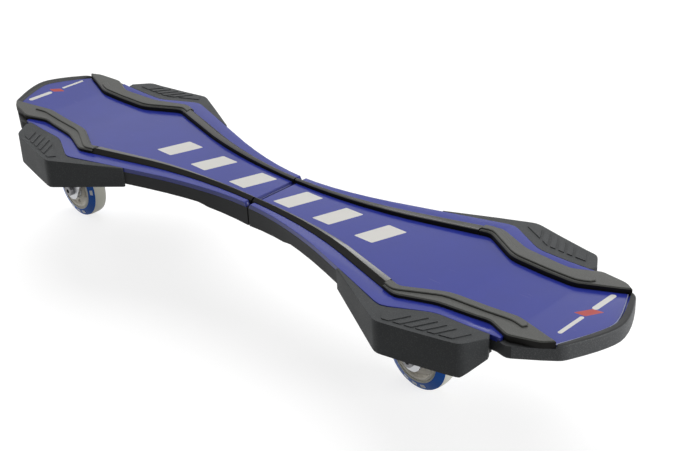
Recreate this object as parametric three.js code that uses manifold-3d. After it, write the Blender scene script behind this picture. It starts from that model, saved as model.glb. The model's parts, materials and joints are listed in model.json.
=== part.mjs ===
import * as THREE from "three";
import Module from "manifold-3d";
import { mergeVertices } from "three/addons/utils/BufferGeometryUtils.js";

// Caster board: two foot decks, each on one trailing caster, joined by a sprung torsion tube.
// Millimetres, +Z up, +X towards the front deck, origin on the ground below the middle seam.

const wasm = await Module();
wasm.setup();

// Decks in plan
const deckReach = 430;
const deckHalfWidth = 117;
const seamGap = 2;
const gap = 0.3;
const overrun = 60;
const weldDistance = 0.0005;

// Rocker of the decks: the waist sags and the nose kicks up
const waistSag = 2;
const waistSagReach = 200;
const noseKick = 10.5;
const noseKickStart = 285;
const bendStep = 66;
const noseBendStep = 36;

// Heights in the deck, from the top of the blue cover downwards or upwards
const coverThickness = 5;
const seamRoll = 3;
const seamRollDepth = 4.6;
const seamStep = 0.8;
const trackDepth = 3.4;
const panelDrop = 1.3;
const panelThickness = 1.8;
const panelChamfer = 0.7;
const baseSkin = 3;
const ledgeDrop = 3.4;
const rimRise = 0.2;
const rimRound = 2.2;
const noseWallDepth = 16.5;
const footWallDepth = 19.6;
const seamWallDepth = 26.1;
const pivotWallDepth = 22.4;
const pivotWallReach = 59;
const pivotWallRamp = 13;
const wallThickness = 3;
const ribThickness = 2.4;
const ribInset = 2;

// Rails
const crestSeamRise = 3.2;
const crestJointRise = 5;
const crestTilt = 0.8;
const railToeRise = 0.6;
const footRailRise = 4;
const footRailChamfer = 1.2;
const beadLedge = 3;
const beadWidth = 8;
const beadRise = 1.5;
const beadChamfer = 0.8;
const beadNose = 3;

// Bumpers
const bumperTopFall = 1.8;
const bumperChamfer = 2;
const bumperDepth = 35.6;
const bumperTipDepth = 22.5;
const bumperEndDepth = 19;
const bumperWall = 3.6;
const bumperRoof = 7;
const bumperRibs = 3;
const treadRise = 0.9;
const treadWidth = 6.2;
const treadPitch = 9.7;
const treadCount = 4;

// Torsion pivot
const tubeDrop = 21.5;
const tubeRadius = 11;
const tubeWall = 2;
const tubeReach = 108;
const bushWall = 2.4;
const bushLength = 24;
const barRadius = 3.6;
const barReach = 152;
const housingHalfWidth = 29;
const capWall = 3.4;
const capFlange = 4.5;
const capScrewRadius = 3.6;
const capScrewRise = 2.4;
const anchorLength = 26;
const anchorHalfWidth = 17;
const anchorHeight = 22;
const anchorGap = 8;
const anchorPadDrop = 10.4;
const anchorSlit = 1.2;
const anchorBoltHeight = 5;

// Casters
const casterReach = 288;
const casterTilt = THREE.MathUtils.degToRad(30);
const swivelDrop = 84;
const swivelTrail = 26;
const swivelOffset = 19.5;
const padDrop = 14.8;
const wedgeDrop = 41.6;
const padHalfLength = 50;
const padHalfWidth = 33;
const wedgeFlange = 5;
const wedgeHalfWidth = 25;
const wedgeWall = 4.5;
const wedgeWeb = 4;
const wedgeRecess = 2.2;
const wedgeNoseShift = 12;
const wedgeCoreRise = 12;
const wedgeCoreNose = 21;
const plateHalfLength = 25;
const plateHalfWidth = 23;
const plateThickness = 4;
const plateCorner = 6;
const plateBoltX = 20;
const plateBoltY = 15.5;
const plateBoltRadius = 2.5;
const plateBoltHead = 4.4;
const plateBoltHeadRise = 2.8;
const plateBoltLength = 11;
const plateBoltRoom = 1.3;
const boltClearance = 0.4;
const raceRadius = 13.5;
const raceBall = 2.6;
const raceCupRise = 3;
const cupLip = 1.8;
const crownRadius = 21;
const crownThickness = 4;
const kingpinRadius = 5;
const kingpinHead = 8.6;
const kingpinDome = 6;
const kingpinHeadRise = 3.6;
const armInner = 14.4;
const armThickness = 3.4;
const armEndRadius = 13;
const armNeck = 11.5;
const armNeckShare = 0.46;
const armEndSteps = 8;
const bossRadius = 7.2;

// Wheels
const wheelRadius = 38;
const wheelHalfWidth = 12;
const treadHalfWidth = 5;
const tyreFaceRadius = 28;
const tyreCorner = 37;
const tyreCornerHalfWidth = 7.8;
const hubRadius = 26;
const hubHalfWidth = 11.4;
const hubWeb = 6;
const hubRimWall = 3.2;
const hubBossRadius = 14.5;
const hubBore = 8.7;
const hubPockets = 5;
const bearingRadius = 11;
const bearingBore = 4;
const bearingWidth = 7;
const spacerRadius = 6;
const axleRadius = 3.6;
const axleHead = 6.4;
const axleHeadRise = 5;
const nutRise = 6.2;
const socketRadius = 2.6;
const socketDepth = 2.6;

// Heights over the ground, from the wheels up
const swivelHeight = wheelRadius + swivelDrop * Math.cos(casterTilt) - swivelTrail * Math.sin(casterTilt);
const padHeight = swivelHeight + wedgeDrop;
const deckHeight = padHeight + padDrop;

// Facets
const roundSteps = 18;
const smallSteps = 14;
const boltSteps = 8;
const wheelSteps = 36;

// Plan lines as shares of deckReach and deckHalfWidth: x, y, rounding before and after the corner
// as shares of the two legs, and the number of steps in the rounding
const coverShares = [
  [0, 0.342],
  [0.1365, 0.342, 1, 0.446, 6],
  [0.56, 0.83, 0.04, 0.14, 2],
  [0.667, 0.631, 0.18, 0.16, 3],
  [0.803, 0.615],
  [0.831, 0.615],
  [0.835, 0.478],
  [0.934, 0.478],
  [0.9835, 0.112, 0.94, 1, 5],
  [0.9835, 0],
];
const railOuterShares = [
  [0, 0.289],
  [0.185, 0.289, 1, 0.435, 6],
  [0.5605, 0.678, 0.03, 0.13, 2],
  [0.652, 0.547, 0.16, 0.12, 3],
  [0.781, 0.5, 0.08, 0.18, 2],
  [0.842, 0.594, 0.15, 0.12, 2],
  [0.913, 0.541, 0.2, 0.2, 2],
  [0.9375, 0.472],
];
const panelShares = [
  [0, 0.231],
  [0.231, 0.231, 1, 0.52, 6],
  [0.55, 0.553, 0.03, 0.12, 2],
  [0.65, 0.361, 0.16, 0.14, 3],
  [0.821, 0.323, 0.08, 0.14, 3],
  [0.9315, 0.458],
  [0.981, 0.11, 0.94, 1, 5],
  [0.981, 0],
];
const baseShares = [
  [0, 0.342],
  [0.1365, 0.342, 1, 0.446, 6],
  [0.56, 0.83, 0.04, 0.14, 2],
  [0.667, 0.631, 0.18, 0.16, 3],
  [0.803, 0.615],
  [0.822, 0.615],
  [0.852, 0.646, 0.3, 0.1, 2],
  [0.95, 0.455, 0.08, 0.1, 2],
  [1, 0.138, 0.86, 1, 5],
  [1, 0],
];
const bumperShares = [
  [0.386, 0.65],
  [0.588, 1, 0.06, 0.08, 3],
  [0.782, 0.846, 0.06, 0.22, 3],
  [0.818, 0.648, 0.12, 0.015, 1],
];
const bumperNoseShare = 0.806;
const bumperCoreShare = 0.5;
const treadRoomShares = [
  [0.583, 0.89], [0.66, 0.745], [0.672, 0.722], [0.778, 0.7], [0.757, 0.823], [0.597, 0.95],
];
const railJointShare = 0.52;
const rimStartShare = 0.938;
const ledgeStartShare = 0.819;
const beadEndShare = 0.85;
const treadStartShare = 0.636;
const treadMiddleShare = 0.85;
const treadSlant = 0.6;
const crestShares = [0.06, 0.3, 0.62];
const noseRingStartShare = 0.8;
const crossRibShares = [0.33, 0.41, 0.49, 0.83];
const longRibShares = [0.3, 0.56];
const armHeelShare = 0.86;

// Finishes
const finish = (color, roughness, metalness = 0) => ({ color, roughness, metalness });
const blueGloss = finish(0x3a4494, 0.22);
const blackPlastic = finish(0x232425, 0.55);
const greyPlastic = finish(0x4d5153, 0.68);
const silverEdge = finish(0x2b2b2a, 0.42);
const zincSteel = finish(0xb9bcbf, 0.35, 0.9);
const darkSteel = finish(0x54575a, 0.4, 0.85);
const springSteel = finish(0x6c6f73, 0.35, 0.9);
const nylon = finish(0xd8d6cc, 0.5);
const paleHub = finish(0xd9d4c8, 0.4);
const urethane = finish(0xc9c6ba, 0.3);

// Solids and meshes

function solidOf(geometry) {
  const bare = geometry.clone();
  bare.deleteAttribute("normal");
  bare.deleteAttribute("uv");
  const merged = mergeVertices(bare, weldDistance);
  const triVerts = new Uint32Array(merged.index.array);
  const vertProperties = new Float32Array(merged.attributes.position.array);
  return new wasm.Manifold(new wasm.Mesh({ numProp: 3, vertProperties, triVerts }));
}

function geometryOf(solid) {
  const mesh = solid.getMesh();
  const geometry = new THREE.BufferGeometry();
  geometry.setAttribute("position", new THREE.BufferAttribute(mesh.vertProperties, 3));
  geometry.setIndex(new THREE.BufferAttribute(mesh.triVerts, 1));
  return geometry;
}

function meshOf(name, geometry, look) {
  geometry.computeVertexNormals();
  const mesh = new THREE.Mesh(geometry, new THREE.MeshStandardMaterial(look));
  mesh.name = name;
  return mesh;
}

function box([x0, x1], [y0, y1], [z0, z1]) {
  const block = new THREE.BoxGeometry(x1 - x0, y1 - y0, z1 - z0);
  block.translate((x0 + x1) / 2, (y0 + y1) / 2, (z0 + z1) / 2);
  return solidOf(block);
}

// A prism between two heights over a closed plan outline
function slab(points, low, high) {
  const prism = new THREE.ExtrudeGeometry(new THREE.Shape(points), {
    depth: high - low, bevelEnabled: false, steps: 1,
  });
  prism.translate(0, 0, low);
  return solidOf(prism);
}

// The same with its top and bottom edges rounded or chamfered
function softSlab(points, low, high, round, segments = 1) {
  const prism = new THREE.ExtrudeGeometry(new THREE.Shape(points), {
    depth: high - low - 2 * round,
    bevelEnabled: true,
    bevelThickness: round,
    bevelSize: round,
    bevelOffset: -round,
    bevelSegments: segments,
    steps: 1,
  });
  prism.translate(0, 0, low + round);
  return solidOf(prism);
}

// The same with a plain bottom edge
function cappedSlab(points, low, high, round) {
  const reach = 2 * deckReach;
  return softSlab(points, low - round, high, round)
    .intersect(box([-reach, reach], [-reach, reach], [low, high]));
}

// A prism across the board, from its outline in X and Z
function crossSlab(points, halfWidth) {
  const prism = new THREE.ExtrudeGeometry(new THREE.Shape(points), {
    depth: 2 * halfWidth, bevelEnabled: false, steps: 1,
  });
  prism.rotateX(Math.PI / 2);
  prism.translate(0, halfWidth, 0);
  return solidOf(prism);
}

// A revolved solid about Z from pairs of radius and height, its first facet edge turned by a start angle
function turned(profile, steps = roundSteps, start = 0) {
  const points = profile.map(([radius, height]) => new THREE.Vector2(radius, height));
  if (THREE.ShapeUtils.area(points) < 0) points.reverse();
  const lathe = new THREE.LatheGeometry(points, steps, start);
  lathe.rotateX(Math.PI / 2);
  return solidOf(lathe);
}

function disc(radius, low, high, steps = roundSteps) {
  return turned([[0, low], [radius, low], [radius, high], [0, high]], steps);
}

function placed(solid, x, y, z, turn = [0, 0, 0]) {
  const shape = geometryOf(solid);
  shape.rotateX(turn[0]);
  shape.rotateY(turn[1]);
  shape.rotateZ(turn[2]);
  shape.translate(x, y, z);
  return solidOf(shape);
}

// The mirror image across the X-Z plane
function flipped(geometry) {
  const copy = geometry.clone();
  const place = copy.attributes.position;
  for (let i = 0; i < place.count; i++) place.setY(i, -place.getY(i));
  const corners = copy.index.array;
  for (let i = 0; i < corners.length; i += 3) {
    [corners[i + 1], corners[i + 2]] = [corners[i + 2], corners[i + 1]];
  }
  return copy;
}

// Plan lines

function softLine(rows) {
  const corners = rows.map(([x, y]) => new THREE.Vector2(x * deckReach, y * deckHalfWidth));
  const points = [];
  rows.forEach(([, , before = 0, after = 0, steps = 1], i) => {
    if (before === 0) {
      points.push(corners[i]);
      return;
    }
    const from = corners[i].clone().lerp(corners[i - 1] ?? corners.at(-1), before);
    const to = corners[i].clone().lerp(corners[i + 1] ?? corners[0], after);
    points.push(...new THREE.QuadraticBezierCurve(from, corners[i], to).getPoints(steps));
  });
  const line = points.filter((p, i) => i === 0 || p.distanceTo(points[i - 1]) > gap);
  if (line[0].x === 0) line[0] = new THREE.Vector2(seamGap / 2, line[0].y);
  return line;
}

function bothSides(line) {
  const other = line.filter((p) => p.y > 0).map((p) => new THREE.Vector2(p.x, -p.y));
  return [...line, ...other.reverse()];
}

function grown(points, distance) {
  const turn = Math.sign(THREE.ShapeUtils.area(points));
  return points.map((point, i) => {
    const into = point.clone().sub(points.at(i - 1)).normalize();
    const out = points[(i + 1) % points.length].clone().sub(point).normalize();
    const normal = new THREE.Vector2(into.y + out.y, -into.x - out.x).normalize();
    const spread = normal.x * into.y - normal.y * into.x;
    return point.clone().addScaledVector(normal, (turn * distance) / spread);
  });
}

// An outline drawn in by a distance, after points that would fold over are left out
function shrunk(points, distance) {
  const kept = [points[0]];
  for (const point of points) {
    const room = Math.min(point.distanceTo(kept.at(-1)), point.distanceTo(kept[0]));
    if (room > distance) kept.push(point);
  }
  return grown(kept, -distance);
}

function widthAt(line, x) {
  const i = Math.max(1, line.findIndex((p) => p.x >= x));
  const share = (x - line[i - 1].x) / (line[i].x - line[i - 1].x);
  return THREE.MathUtils.lerp(line[i - 1].y, line[i].y, share);
}

function stretchOf(line, x0, x1) {
  const inside = line.filter((p) => p.x > x0 + gap && p.x < x1 - gap);
  const ends = [x0, x1].map((x) => new THREE.Vector2(x, widthAt(line, x)));
  return [ends[0], ...inside, ends[1]];
}

// Rocker

function rise(x) {
  const reach = Math.abs(x);
  const sag = reach < waistSagReach ? waistSag * (1 + Math.cos(Math.PI * reach / waistSagReach)) / 2 : 0;
  const kick = Math.max(0, reach - noseKickStart) / (deckReach - noseKickStart);
  return noseKick * kick * kick - sag;
}

function bendPlaces() {
  const places = [-overrun, seamGap / 2];
  for (let x = bendStep; x < waistSagReach; x += bendStep) places.push(x);
  for (let x = noseKickStart; x < deckReach; x += noseBendStep) places.push(x);
  return [...places, deckReach, deckReach + overrun];
}

// Bends a flat solid piece by piece, each straight between two places along the deck
function bent(solid) {
  const places = bendPlaces();
  const pieces = [];
  for (let i = 1; i < places.length; i++) {
    const [from, to] = [places[i - 1], places[i]];
    const piece = solid.intersect(box([from, to], [-2 * deckHalfWidth, 2 * deckHalfWidth],
      [-2 * overrun, 2 * overrun]));
    if (piece.isEmpty()) continue;
    const geometry = geometryOf(piece);
    const place = geometry.attributes.position;
    for (let k = 0; k < place.count; k++) {
      const share = (place.getX(k) - from) / (to - from);
      const lift = THREE.MathUtils.lerp(rise(from), rise(to), share);
      place.setZ(k, place.getZ(k) + lift + deckHeight);
    }
    pieces.push(solidOf(geometry));
  }
  return geometryOf(pieces.reduce((all, piece) => all.add(piece)));
}

// Deck pieces, made flat with the top of the cover at z = 0, for the +X deck

const coverLine = softLine(coverShares);
const railOuterLine = softLine(railOuterShares);
const panelLine = softLine(panelShares);
const baseLine = softLine(baseShares);
const trackFloor = -trackDepth;
const railFoot = trackFloor + gap;

// Takes the slope off the end of cover or panel where the two decks meet
function rolledEnd(solid) {
  const start = seamGap / 2 + seamStep;
  const slope = crossSlab([
    new THREE.Vector2(-overrun, -overrun), new THREE.Vector2(start, -overrun),
    new THREE.Vector2(start, -seamRollDepth), new THREE.Vector2(start + seamRoll, 0),
    new THREE.Vector2(start + seamRoll, overrun), new THREE.Vector2(-overrun, overrun),
  ], deckHalfWidth);
  return solid.subtract(slope);
}

// Rails and panel lie in a sunk track of the cover, which runs out over the nose
function deckCover() {
  const shell = cappedSlab(bothSides(coverLine), -coverThickness, 0, panelChamfer / 2);
  const track = slab(grown(bothSides(railOuterLine), gap / 2), trackFloor, overrun);
  const nose = box([railOuterLine.at(-1).x, deckReach + overrun], [-overrun, overrun], [trackFloor, overrun]);
  return rolledEnd(shell.subtract(track).subtract(nose));
}

function topPanel() {
  const outline = grown(bothSides(panelLine), -gap / 2);
  return rolledEnd(cappedSlab(outline, -panelDrop - panelThickness, -panelDrop, panelChamfer));
}

// Waist rail: a ridge with a steep inner face, a crest that widens and leans in, and an outer slope
function waistRail() {
  const end = railJointShare * deckReach - gap / 2;
  const stations = stretchOf(railOuterLine, seamGap / 2, end).map((p) => p.x);
  const [brink, narrow, wide] = crestShares;
  const outline = (along) => {
    const crest = THREE.MathUtils.lerp(narrow, wide, along);
    const top = THREE.MathUtils.lerp(crestSeamRise, crestJointRise, along);
    return [[0, railFoot], [0, top - 2 * crestTilt], [brink, top - crestTilt], [crest, top],
      [1, railToeRise], [1, railFoot]];
  };
  const places = [];
  for (const x of stations) {
    const inner = widthAt(panelLine, x) + gap / 2;
    const width = widthAt(railOuterLine, x) - gap / 2 - inner;
    for (const [share, z] of outline(x / end)) places.push(x, inner + share * width, z);
  }
  const corners = outline(0).length;
  const triangles = [];
  for (let k = 0; k + 1 < stations.length; k++) {
    for (let i = 0; i < corners; i++) {
      const [a, b] = [k * corners + i, k * corners + (i + 1) % corners];
      triangles.push(a, a + corners, b, b, a + corners, b + corners);
    }
  }
  const last = (stations.length - 1) * corners;
  for (let i = 1; i + 1 < corners; i++) {
    triangles.push(0, i, i + 1);
    triangles.push(last, last + i + 1, last + i);
  }
  const rail = new THREE.BufferGeometry();
  rail.setAttribute("position", new THREE.Float32BufferAttribute(places, 3));
  rail.setIndex(triangles);
  return solidOf(rail);
}

// Foot rail: a flat-topped bar that widens to a wedge at the nose, with a raised bead along it
function footRailOutline() {
  const start = railJointShare * deckReach + gap / 2;
  const inner = stretchOf(panelLine, start, panelShares[5][0] * deckReach);
  const outer = stretchOf(railOuterLine, start, railOuterLine.at(-1).x);
  return grown([...inner, ...outer.reverse()], -gap / 2);
}

function footRail() {
  const bar = cappedSlab(footRailOutline(), railFoot, footRailRise, footRailChamfer);
  const start = railJointShare * deckReach + gap / 2;
  const line = stretchOf(panelLine, start, beadEndShare * deckReach);
  const inner = line.map((p) => new THREE.Vector2(p.x, p.y + beadLedge));
  const outer = line.map((p) => new THREE.Vector2(p.x, p.y + beadLedge + beadWidth));
  const tip = inner.at(-1).clone().lerp(outer.at(-1), 1 / 2);
  tip.x += beadNose;
  const bead = cappedSlab([...inner, tip, ...outer.reverse()], 0, footRailRise + beadRise, beadChamfer);
  const reach = 2 * deckReach;
  const clear = box([start, reach], [-reach, reach], [0, reach]);
  return bar.add(bead.intersect(clear));
}

// Base: a tray with side walls, ribs below and a raised rim round the nose
function trayBottom(shift) {
  const x = [
    [-overrun, seamWallDepth], [0, seamWallDepth], [pivotWallReach, pivotWallDepth],
    [pivotWallReach + pivotWallRamp, footWallDepth], [ledgeStartShare * deckReach, footWallDepth],
    [ledgeStartShare * deckReach + pivotWallRamp, noseWallDepth],
    [deckReach + overrun, noseWallDepth],
  ];
  const line = x.map(([at, depth]) => new THREE.Vector2(at, shift - depth));
  const below = [new THREE.Vector2(deckReach + overrun, -overrun), new THREE.Vector2(-overrun, -overrun)];
  return crossSlab([...line, ...below], deckHalfWidth + overrun);
}

function trayRibs(low, high) {
  const inside = slab(grown(bothSides(baseLine), -wallThickness / 2), low, high);
  const bars = [];
  for (const share of crossRibShares) {
    const x = share * deckReach;
    bars.push(box([x, x + ribThickness], [-deckHalfWidth, deckHalfWidth], [low, high]));
  }
  for (const share of longRibShares) {
    for (const side of [-1, 1]) {
      const y = side * share * deckHalfWidth;
      const width = [y - ribThickness / 2, y + ribThickness / 2];
      bars.push(box([housingHalfWidth, deckReach], width, [low, high]));
    }
  }
  return bars.reduce((all, bar) => all.add(bar)).intersect(inside);
}

function tray() {
  const outline = bothSides(baseLine);
  const seat = -coverThickness - gap;
  const roof = seat - baseSkin;
  const noseStart = noseRingStartShare * deckReach;
  const waist = slab(outline, -overrun, -ledgeDrop)
    .intersect(box([0, noseStart + rimRound], [-overrun * 2, overrun * 2], [-overrun, overrun]));
  const nose = softSlab(outline, -noseWallDepth, rimRise, rimRound, 2)
    .intersect(box([noseStart, deckReach + overrun], [-overrun * 2, overrun * 2], [-overrun, overrun]));
  const ledge = box([0, rimStartShare * deckReach], [-overrun * 2, overrun * 2], [-ledgeDrop, overrun]);
  const pocket = slab(grown(bothSides(coverLine), gap), seat, overrun);
  const hollow = slab(shrunk(outline, wallThickness), -overrun * 2, roof);
  const shell = waist.add(nose).subtract(ledge).subtract(pocket).subtract(hollow);
  const ribs = trayRibs(-overrun, roof + ribThickness / 2).subtract(trayBottom(ribInset));
  const endWall = slab(outline, -overrun, roof + ribThickness)
    .intersect(box([0, seamGap / 2 + wallThickness], [-overrun, overrun], [-overrun, overrun]));
  return shell.add(endWall).add(ribs).subtract(trayBottom(0));
}

// Straight features of the base are added after it is bent: tube housing, anchor and caster pads
const tubeHeight = deckHeight - tubeDrop;
const channelRadius = tubeRadius + gap + bushWall + gap;
const anchorStart = tubeReach + anchorGap;
const anchorTop = deckHeight - anchorPadDrop;

function tubeShape(radius, from, to, steps = roundSteps) {
  return placed(disc(radius, from, to, steps), 0, 0, tubeHeight, [0, Math.PI / 2, 0]);
}

function deckBase() {
  const skinInside = deckHeight - coverThickness - baseSkin / 2;
  const housing = box([seamGap / 2, tubeReach - gap], [-housingHalfWidth, housingHalfWidth],
    [tubeHeight + gap / 2, skinInside - waistSag]);
  const channel = tubeShape(channelRadius, -overrun, tubeReach + overrun);
  const anchorPad = box([anchorStart, anchorStart + anchorLength], [-anchorHalfWidth, anchorHalfWidth],
    [anchorTop + gap, skinInside - waistSag]);
  const padX = [casterReach - padHalfLength, casterReach + padHalfLength];
  const pad = box(padX, [-padHalfWidth, padHalfWidth], [padHeight + gap, skinInside]);
  const room = gap + ribThickness;
  const clearPad = box([padX[0] - room, padX[1] + room], [-padHalfWidth - room, padHalfWidth + room],
    [0, padHeight + gap]);
  const clearCap = box([0, tubeReach + room], [-housingHalfWidth - room, housingHalfWidth + room],
    [0, tubeHeight + gap / 2]);
  const clearAnchor = box([tubeReach, anchorStart + anchorLength + room],
    [-anchorHalfWidth - room, anchorHalfWidth + room], [0, anchorTop + gap]);
  return solidOf(bent(tray()))
    .subtract(clearPad).subtract(clearCap).subtract(clearAnchor)
    .add(housing).add(anchorPad).add(pad)
    .subtract(channel);
}

// Bumper: a faceted side block, cored from below, with tread pads on its sloping top
function bumperOuter(start) {
  const outer = softLine(bumperShares);
  const [tip, next] = outer;
  outer[0] = tip.clone().lerp(next, (start - tip.x) / (next.x - tip.x));
  return outer.reverse();
}

function bumperInner(start) {
  const inner = stretchOf(coverLine, start, bumperNoseShare * deckReach);
  return inner.map((p) => new THREE.Vector2(p.x, p.y + gap));
}

// Removes what lies below a line drawn on one slanted end face of the bumper
function risingCut(inner, outer, innerDepth, outerDepth) {
  const along = outer.clone().sub(inner);
  const length = along.length();
  const line = [
    new THREE.Vector2(-overrun, -innerDepth + overrun * (outerDepth - innerDepth) / length),
    new THREE.Vector2(length, -outerDepth), new THREE.Vector2(length, -2 * overrun),
    new THREE.Vector2(-overrun, -2 * overrun),
  ];
  const cut = crossSlab(line, deckReach);
  return placed(cut, inner.x, inner.y, 0, [0, 0, along.angle()]);
}

// Pads of the tread: a triangle at the waist, slanted bars and a broad pad at the nose
function treadPads() {
  const room = treadRoomShares.map(([x, y]) => new THREE.Vector2(x * deckReach, y * deckHalfWidth));
  const middle = treadMiddleShare * deckHalfWidth;
  const pad = (from, to) => {
    const line = [[from, 0], [to, 0], [to, 2 * middle], [from, 2 * middle]];
    const corners = line.map(([x, y]) => new THREE.Vector2(x + treadSlant * (middle - y), y));
    return slab(corners, -overrun, overrun);
  };
  const first = treadStartShare * deckReach;
  const pads = [pad(0, first - treadPitch + treadWidth), pad(first + treadCount * treadPitch, 2 * deckReach)];
  for (let i = 0; i < treadCount; i++) {
    const start = first + i * treadPitch;
    pads.push(pad(start, start + treadWidth));
  }
  return pads.reduce((all, one) => all.add(one)).intersect(slab(room, -overrun / 2, overrun / 2));
}

// Everything above the bumper's top, which falls outwards from the cover
function aboveBumper(lift) {
  const start = widthAt(coverLine, bumperShares[0][0] * deckReach);
  const fall = bumperTopFall / (deckHalfWidth - start);
  const end = deckHalfWidth + overrun;
  const outline = [
    new THREE.Vector2(start - overrun, lift), new THREE.Vector2(start, lift),
    new THREE.Vector2(end, lift - fall * (end - start)),
    new THREE.Vector2(end, 2 * overrun), new THREE.Vector2(start - overrun, 2 * overrun),
  ];
  return placed(crossSlab(outline, deckReach), 0, 0, 0, [0, 0, Math.PI / 2]);
}

function bumper() {
  const [tip, shoulder, heel, end] = bumperShares.map(([x, y]) => (
    new THREE.Vector2(x * deckReach, y * deckHalfWidth)));
  const outer = bumperOuter(tip.x);
  const inner = bumperInner(tip.x);
  const behind = [inner[0], inner.at(-1)].map((p) => new THREE.Vector2(p.x, p.y - 2 * bumperChamfer));
  const block = cappedSlab([...behind, ...outer], -bumperDepth, treadRise, bumperChamfer)
    .intersect(slab([...inner, ...outer], -overrun, overrun));
  const coreStart = bumperCoreShare * deckReach;
  const room = [...bumperInner(coreStart), ...bumperOuter(coreStart)];
  const core = slab(shrunk(room, bumperWall), -2 * overrun, -bumperRoof);
  const webs = [];
  for (let i = 1; i <= bumperRibs; i++) {
    const x = THREE.MathUtils.lerp(tip.x, end.x, i / (bumperRibs + 1));
    webs.push(box([x, x + ribThickness], [0, 2 * deckHalfWidth], [-2 * overrun, overrun]));
  }
  const web = webs.reduce((all, one) => all.add(one));
  const plain = block.subtract(core.subtract(web)).subtract(aboveBumper(0));
  const treads = block.intersect(treadPads()).subtract(aboveBumper(treadRise));
  return plain.add(treads)
    .subtract(risingCut(tip, shoulder, bumperTipDepth, bumperDepth))
    .subtract(risingCut(end, heel, bumperEndDepth, bumperDepth));
}

function deckGroup(prefix, turn) {
  const deck = new THREE.Group();
  const sides = turn === 0 ? ["left", "right"] : ["right", "left"];
  const single = [
    ["deck_base", geometryOf(deckBase()), blackPlastic],
    ["deck_cover", bent(deckCover()), blueGloss],
    ["top_panel", bent(topPanel()), blueGloss],
  ];
  for (const [name, geometry, look] of single) deck.add(meshOf(`${prefix}_${name}`, geometry, look));
  const pairs = [
    ["waist_rail", bent(waistRail()), silverEdge],
    ["foot_rail", bent(footRail()), greyPlastic],
    ["bumper", bent(bumper()), greyPlastic],
  ];
  for (const [name, geometry, look] of pairs) {
    deck.add(meshOf(`${prefix}_${sides[0]}_${name}`, geometry, look));
    deck.add(meshOf(`${prefix}_${sides[1]}_${name}`, flipped(geometry), look));
  }
  deck.rotation.z = turn;
  return deck;
}

// Torsion pivot between the decks

function sleeve(outer, inner, from, to, steps = roundSteps) {
  const ring = turned([[inner, from], [outer, from], [outer, to], [inner, to], [inner, from]], steps);
  return placed(ring, 0, 0, tubeHeight, [0, Math.PI / 2, 0]);
}

// A bush or clamp sleeve round the tube, at a distance from the seam
function tubeSleeve(start) {
  const inner = tubeRadius + gap;
  const outer = inner + bushWall;
  return sleeve(outer, inner, start, start + bushLength);
}

// The cap closes the channel from below and is held by screws in its two flanges
function tubeCap() {
  const outer = channelRadius + capWall;
  const x = [seamGap / 2 + gap, tubeReach - gap];
  const split = tubeHeight - gap / 2;
  const shell = tubeShape(outer, x[0], x[1]);
  const flange = box(x, [-housingHalfWidth, housingHalfWidth], [split - capFlange, split]);
  let cap = shell.add(flange)
    .intersect(box(x, [-overrun, overrun], [0, split]))
    .subtract(tubeShape(channelRadius, -overrun, tubeReach + overrun));
  for (const along of [1, 3]) {
    for (const side of [-1, 1]) {
      const screw = disc(capScrewRadius, -capScrewRise, gap, boltSteps);
      const at = THREE.MathUtils.lerp(x[0], x[1], along / 4);
      const across = side * (outer + housingHalfWidth) / 2;
      cap = cap.add(placed(screw, at, across, split - capFlange));
    }
  }
  return cap;
}

// The anchor clamps the end of the torsion bar: a block with a slit and a pinch bolt
function barAnchor() {
  const x = [anchorStart, anchorStart + anchorLength];
  const low = anchorTop - anchorHeight;
  const block = box(x, [-anchorHalfWidth, anchorHalfWidth], [low, anchorTop]);
  const slit = box([x[0] - gap, x[1] + gap], [-anchorSlit / 2, anchorSlit / 2], [low - gap, tubeHeight]);
  const bore = tubeShape(barRadius + gap, x[0] - overrun, x[1] + overrun, smallSteps);
  const bolt = disc(capScrewRadius, -capScrewRise, gap, boltSteps);
  const middle = (x[0] + x[1]) / 2;
  const head = placed(bolt, middle, -anchorHalfWidth, low + anchorBoltHeight, [-Math.PI / 2, 0, 0]);
  return block.subtract(slit).subtract(bore).add(head);
}

function pivotGroup() {
  const pivot = new THREE.Group();
  const add = (name, solid, look, turn = 0) => {
    const mesh = meshOf(name, geometryOf(solid), look);
    mesh.rotation.z = turn;
    pivot.add(mesh);
  };
  const innerStart = seamGap / 2 + 2 * gap;
  const outerStart = tubeReach - bushLength - 2 * gap;
  add("pivot_tube", sleeve(tubeRadius, tubeRadius - tubeWall, -tubeReach, tubeReach), zincSteel);
  add("torsion_bar", tubeShape(barRadius, -barReach, barReach, smallSteps), springSteel);
  add("front_inner_clamp_sleeve", tubeSleeve(innerStart), darkSteel);
  add("front_outer_clamp_sleeve", tubeSleeve(outerStart), darkSteel);
  add("rear_inner_bush", tubeSleeve(innerStart), nylon, Math.PI);
  add("rear_outer_bush", tubeSleeve(outerStart), nylon, Math.PI);
  for (const [prefix, turn] of [["front", 0], ["rear", Math.PI]]) {
    add(`${prefix}_tube_cap`, tubeCap(), blackPlastic, turn);
    add(`${prefix}_bar_anchor`, barAnchor(), darkSteel, turn);
  }
  return pivot;
}

// Casters

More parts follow.
